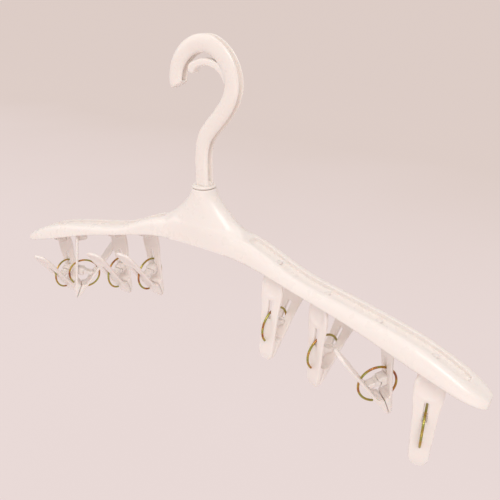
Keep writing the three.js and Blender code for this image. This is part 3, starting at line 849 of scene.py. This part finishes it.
def ring_cage():
    """C-shaped wire ring, with its two ends rounded off."""
    cage = Cage()
    steps = 110
    around = 12
    rings = []
    for i in range(steps + 1):
        turn = RING_END_ANGLE + i / steps * (2 * math.pi - 2 * RING_END_ANGLE)
        left = min(turn - RING_END_ANGLE, 2 * math.pi - RING_END_ANGLE - turn)
        run = max(0.0, RING_RADIUS * left)
        wire = WIRE_RADIUS
        if run < WIRE_RADIUS * 0.7:
            wire *= 0.55 + 0.45 * math.sqrt(1 - (1 - run / (WIRE_RADIUS * 0.7)) ** 2)
        centre = np.array([0, math.sin(turn), -math.cos(turn)])
        made = []
        for k in range(around):
            a = 2 * math.pi * k / around
            point = centre * (RING_RADIUS + wire * math.cos(a))
            made.append((wire * math.sin(a), point[1], RING_HEIGHT + point[2]))
        rings.append(cage.add(made))
    for a, b in zip(rings, rings[1:]):
        cage.strip(a, b)
    cage.faces.append(tuple(rings[0]))
    cage.faces.append(tuple(reversed(rings[-1])))
    return cage


def link_cage(head):
    """Headed pin and cross pin, in the swivel's frame. head is the seat above the pivot."""
    cage = Cage()
    collar = head - BOSS_HEIGHT - GAP
    top = head + GAP
    lathe(cage, [
        (0.8, -2.1), (1.5, -2.1), (2.0, -1.6), (2.1, -0.6), (1.95, 0.8), (1.7, 2.1),
        (1.7, collar - 1.2), (2.9, collar - 1.1), (3.2, collar - 0.9), (3.2, collar - 0.2),
        (3.0, collar), (1.6, collar), (1.5, collar + 0.1), (1.5, top - 0.1), (2.2, top),
        (2.35, top + 0.15), (2.3, top + 0.6), (1.9, top + 1.15), (0.9, top + LINK_HEAD),
    ], 28)
    cross_pin = [(0.6, -4.6), (0.9, -4.6), (1.1, -4.35), (1.1, 4.35), (0.9, 4.6), (0.6, 4.6)]
    lathe(cage, cross_pin, 20, axis="x")
    return cage


def peg(number):
    name = "peg_%d" % number
    rock = joints[name + "_rock"]
    squeeze = joints[name + "_squeeze"]
    pivot = Vector(rock["pos_m"])
    across = Vector(rock["axis"]).normalized()
    fulcrum = Vector(squeeze["pos_m"])
    # In the leaf's own frame the fulcrum lies this far from the pivot.
    origin = np.array([0.0, PIVOT_OFFSET - TIP_OFFSET * math.cos(LEAF_ANGLE),
                       -PIVOT_HEIGHT - TIP_OFFSET * math.sin(LEAF_ANGLE)])
    reach = origin + FULCRUM_HEIGHT * np.array([0, -math.sin(LEAF_ANGLE), math.cos(LEAF_ANGLE)])
    up = Vector((0, 0, 1))
    back = up.cross(across)
    want = fulcrum - pivot
    lean = math.atan2(want.dot(up), want.dot(back)) - math.atan2(reach[2], reach[1])
    turned = Matrix((across, back, up)).transposed().to_4x4()
    frame_rock = Matrix.Translation(pivot) @ turned @ Matrix.Rotation(lean, 4, "X")
    to_leaf = Matrix.Translation(Vector(origin) * MM) @ Matrix.Rotation(LEAF_ANGLE, 4, "X")
    middle = frame_rock @ to_leaf

    fixed = fixed_leaf_cage().build(name + "_fixed", PEG, 2, middle)
    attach(fixed, name + "_fixed")
    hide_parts(name + "_fixed_leaf")
    lever = lever_leaf_cage().build(name + "_lever", PEG, 2, middle)
    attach(lever, name + "_lever")
    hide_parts(name + "_lever_leaf")
    ring = ring_cage().build(name + "_ring", WIRE, 0, middle)
    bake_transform(ring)
    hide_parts(name + "_ring_spring")
    link_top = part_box(name + "_link")[1][2]
    head = (link_top - pivot.z) / MM - GAP - LINK_HEAD
    link = link_cage(head).build(name + "_swivel_link", LINK, 1, Matrix.Translation(pivot) @ turned)
    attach(link, name + "_link")
    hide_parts(name + "_link")


hanger_body()
hook()
for number in range(1, 9):
    peg(number)


# ---- Stage, light and camera ----------------------------------------------------------------
STAGE_HALF_WIDTH = 9.0
FLOOR_HEIGHT = -0.62
FLOOR_FRONT = -6.0
FLOOR_BACK = 3.0
SWEEP_RADIUS = 2.5


def stage():
    """A pale floor that curves up into a backdrop."""
    bm = bmesh.new()
    rows = []
    for t in np.linspace(0, 1, 40):
        if t < 0.5:
            y = FLOOR_FRONT + t * 2 * (FLOOR_BACK - FLOOR_FRONT)
            z = FLOOR_HEIGHT
        else:
            turn = (t - 0.5) * math.pi
            y = FLOOR_BACK + SWEEP_RADIUS * math.sin(turn)
            z = FLOOR_HEIGHT + SWEEP_RADIUS * (1 - math.cos(turn))
        rows.append([bm.verts.new((x, y, z)) for x in (-STAGE_HALF_WIDTH, STAGE_HALF_WIDTH)])
    for a, b in zip(rows, rows[1:]):
        bm.faces.new((a[0], a[1], b[1], b[0]))
    mesh = bpy.data.meshes.new("backdrop")
    bm.to_mesh(mesh)
    bm.free()
    mesh.shade_smooth()
    mesh.materials.append(backdrop_material())
    obj = bpy.data.objects.new("backdrop", mesh)
    bpy.context.scene.collection.objects.link(obj)


def area(name, place, target, size, power, color=(1, 1, 1)):
    light = bpy.data.lights.new(name, "AREA")
    light.shape = "RECTANGLE"
    light.size, light.size_y = size
    light.energy = power
    light.color = color
    obj = bpy.data.objects.new(name, light)
    bpy.context.scene.collection.objects.link(obj)
    obj.location = place
    obj.rotation_euler = (Vector(target) - Vector(place)).to_track_quat("-Z", "Y").to_euler()


stage()
area("key", (0.9, -1.1, 1.5), (0, 0, -0.1), (1.0, 0.7), 13.8, (1.0, 0.97, 0.94))
area("fill", (-1.3, -0.9, 0.7), (0, 0, -0.12), (1.2, 1.2), 4.5, (1.0, 0.95, 0.93))
area("low", (0.5, -1.3, -0.45), (0, 0, -0.15), (1.4, 0.8), 3.2, (1.0, 0.96, 0.94))
area("top", (0.0, 0.2, 1.6), (0, 0, -0.1), (1.4, 0.9), 4, (1.0, 0.96, 0.94))

world = bpy.data.worlds.new("studio")
bpy.context.scene.world = world
world.use_nodes = True
sky = world.node_tree.nodes["Background"]
sky.inputs["Color"].default_value = (1.0, 0.93, 0.91, 1)
sky.inputs["Strength"].default_value = 0.62
bpy.context.scene.view_settings.view_transform = "Standard"

CAMERA_YAW = math.radians(35.31)
CAMERA_PITCH = math.radians(24.4)
CAMERA_PLACE = (0.2365, -0.2776, 0.1157 + SEAT)
SENSOR_WIDTH = 36.0
FOCAL_SHARE = 1.0666  # focal length in widths of the picture
camera = bpy.data.cameras.new("camera")
camera.sensor_width = SENSOR_WIDTH
camera.lens = SENSOR_WIDTH * FOCAL_SHARE
camera.clip_start = 0.01
eye = bpy.data.objects.new("camera", camera)
bpy.context.scene.collection.objects.link(eye)
eye.location = CAMERA_PLACE
eye.rotation_euler = (math.pi / 2 - CAMERA_PITCH, 0, CAMERA_YAW)
bpy.context.scene.camera = eye
